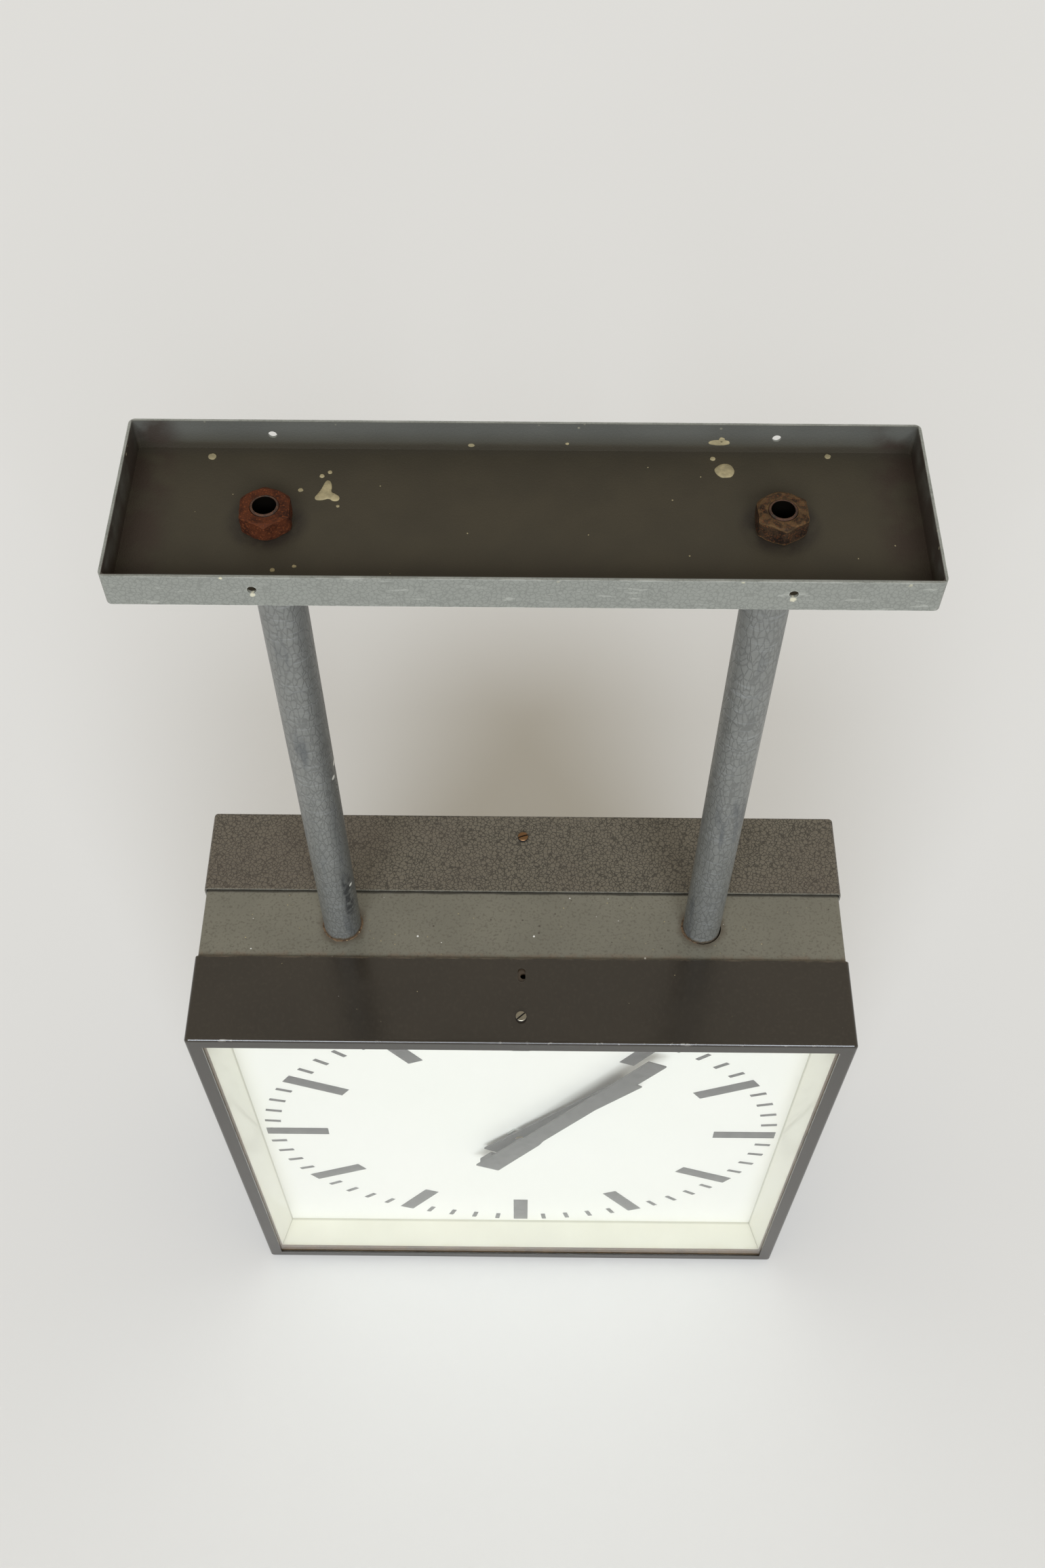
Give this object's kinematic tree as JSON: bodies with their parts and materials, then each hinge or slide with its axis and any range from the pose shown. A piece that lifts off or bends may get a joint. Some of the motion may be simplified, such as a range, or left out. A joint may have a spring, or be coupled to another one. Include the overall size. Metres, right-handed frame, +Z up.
{
  "type": "station clock",
  "caption": "Square double sided station clock: slip-on glazed bezels on a body shell that hangs on tubes from an open canopy tray.",
  "frame": {"origin": "centre of the canopy's rim, in the ceiling plane", "axes": "+Z up, +X to the right of the front dial, +Y from the front dial to the rear dial"},
  "size_m": [0.42, 0.17, 0.806],
  "materials": {
    "canopy_paint": "worn hammered grey paint",
    "nut_steel": "rusty steel",
    "plated_steel": "zinc plated",
    "tube_finish": "hammered silver grey paint",
    "body_paint": "satin greenish grey paint",
    "bezel_paint_front": "dark satin grey-brown paint",
    "bezel_paint_rear": "hammered grey-brown paint",
    "screw_steel": "worn plated steel",
    "screw_rusty": "rusty plated steel",
    "terminal_moulding": "moulded",
    "clear_glass": "clear float glass",
    "seal_rubber": "brown rubber strip",
    "reveal_paint": "ivory gloss paint",
    "dial_enamel": "white satin enamel",
    "mark_paint": "dark grey printed marks",
    "hand_paint": "dark grey satin paint",
    "movement_brass": "satin brass",
    "arbor_steel": "polished steel",
    "magnet_black": "sintered magnet",
    "core_iron": "soft iron laminations",
    "bobbin_moulding": "moulded bobbin",
    "copper_winding": "enamelled copper wire"
  },
  "bodies": {
    "root": {"bezel_front": "bezel_paint_front", "bezel_rear": "bezel_paint_rear", "bezel_screw_front": "screw_steel", "bezel_screw_rear": "screw_rusty", "body_nipples": "plated_steel", "body_shell": "body_paint", "body_top": "body_paint", "canopy_nipples": "nut_steel", "canopy_nuts": "nut_steel", "canopy_tray": "canopy_paint", "coil_bobbin_front": "bobbin_moulding", "coil_bobbin_rear": "bobbin_moulding", "coil_winding_front": "copper_winding", "coil_winding_rear": "copper_winding", "dial_ledges": "body_paint", "dial_marks_front": "mark_paint", "dial_marks_rear": "mark_paint", "dial_nuts": "plated_steel", "dial_plate_front": "dial_enamel", "dial_plate_rear": "dial_enamel", "dial_screws": "plated_steel", "glass_front": "clear_glass", "glass_rear": "clear_glass", "glass_seal_front": "seal_rubber", "glass_seal_rear": "seal_rubber", "hanger_channel": "plated_steel", "hanger_nuts": "plated_steel", "movement_back_plate_front": "movement_brass", "movement_back_plate_rear": "movement_brass", "movement_front_plate_front": "movement_brass", "movement_front_plate_rear": "movement_brass", "movement_pillars_front": "movement_brass", "movement_pillars_rear": "movement_brass", "reveal_frame_front": "reveal_paint", "reveal_frame_rear": "reveal_paint", "stator_poles_front": "core_iron", "stator_poles_rear": "core_iron", "suspension_tube_left": "tube_finish", "suspension_tube_right": "tube_finish", "terminal_block": "terminal_moulding"},
    "front_minute": {"minute_arbor_front": "arbor_steel", "minute_wheel_front": "movement_brass", "hand_collet_front": "hand_paint", "minute_hand_front": "hand_paint", "hand_counterweight_front": "hand_paint"},
    "front_hour": {"hour_wheel_front": "movement_brass", "hour_hand_front": "hand_paint"},
    "front_motion": {"motion_wheel_front": "movement_brass"},
    "front_rotor": {"rotor_arbor_front": "arbor_steel", "rotor_magnet_front": "magnet_black"},
    "rear_minute": {"minute_arbor_rear": "arbor_steel", "minute_wheel_rear": "movement_brass", "hand_collet_rear": "hand_paint", "minute_hand_rear": "hand_paint", "hand_counterweight_rear": "hand_paint"},
    "rear_hour": {"hour_wheel_rear": "movement_brass", "hour_hand_rear": "hand_paint"},
    "rear_motion": {"motion_wheel_rear": "movement_brass"},
    "rear_rotor": {"rotor_arbor_rear": "arbor_steel", "rotor_magnet_rear": "magnet_black"}
  },
  "joints": [
    {"name": "front_minute_turn", "type": "hinge", "parent": "root", "child": "front_minute", "pos_m": [0, -0.0564, -0.596], "axis": [0, 1, 0], "continuous": true},
    {"name": "front_hour_turn", "type": "hinge", "parent": "root", "child": "front_hour", "pos_m": [0, -0.0564, -0.596], "axis": [0, 1, 0], "continuous": true},
    {"name": "front_motion_turn", "type": "hinge", "parent": "root", "child": "front_motion", "pos_m": [0, -0.0564, -0.5792], "axis": [0, 1, 0], "continuous": true},
    {"name": "front_rotor_turn", "type": "hinge", "parent": "root", "child": "front_rotor", "pos_m": [0, -0.0564, -0.614], "axis": [0, 1, 0], "continuous": true},
    {"name": "rear_minute_turn", "type": "hinge", "parent": "root", "child": "rear_minute", "pos_m": [0, 0.0564, -0.596], "axis": [0, -1, 0], "continuous": true},
    {"name": "rear_hour_turn", "type": "hinge", "parent": "root", "child": "rear_hour", "pos_m": [0, 0.0564, -0.596], "axis": [0, -1, 0], "continuous": true},
    {"name": "rear_motion_turn", "type": "hinge", "parent": "root", "child": "rear_motion", "pos_m": [0, 0.0564, -0.5792], "axis": [0, -1, 0], "continuous": true},
    {"name": "rear_rotor_turn", "type": "hinge", "parent": "root", "child": "rear_rotor", "pos_m": [0, 0.0564, -0.614], "axis": [0, -1, 0], "continuous": true}
  ],
  "couplings": [
    {"joint": "front_hour_turn", "follows": "front_minute_turn", "ratio": 0.083333},
    {"joint": "front_motion_turn", "follows": "front_minute_turn", "ratio": -0.33333},
    {"joint": "front_rotor_turn", "follows": "front_minute_turn", "ratio": -5},
    {"joint": "rear_hour_turn", "follows": "rear_minute_turn", "ratio": 0.083333},
    {"joint": "rear_motion_turn", "follows": "rear_minute_turn", "ratio": -0.33333},
    {"joint": "rear_rotor_turn", "follows": "rear_minute_turn", "ratio": -5}
  ]
}
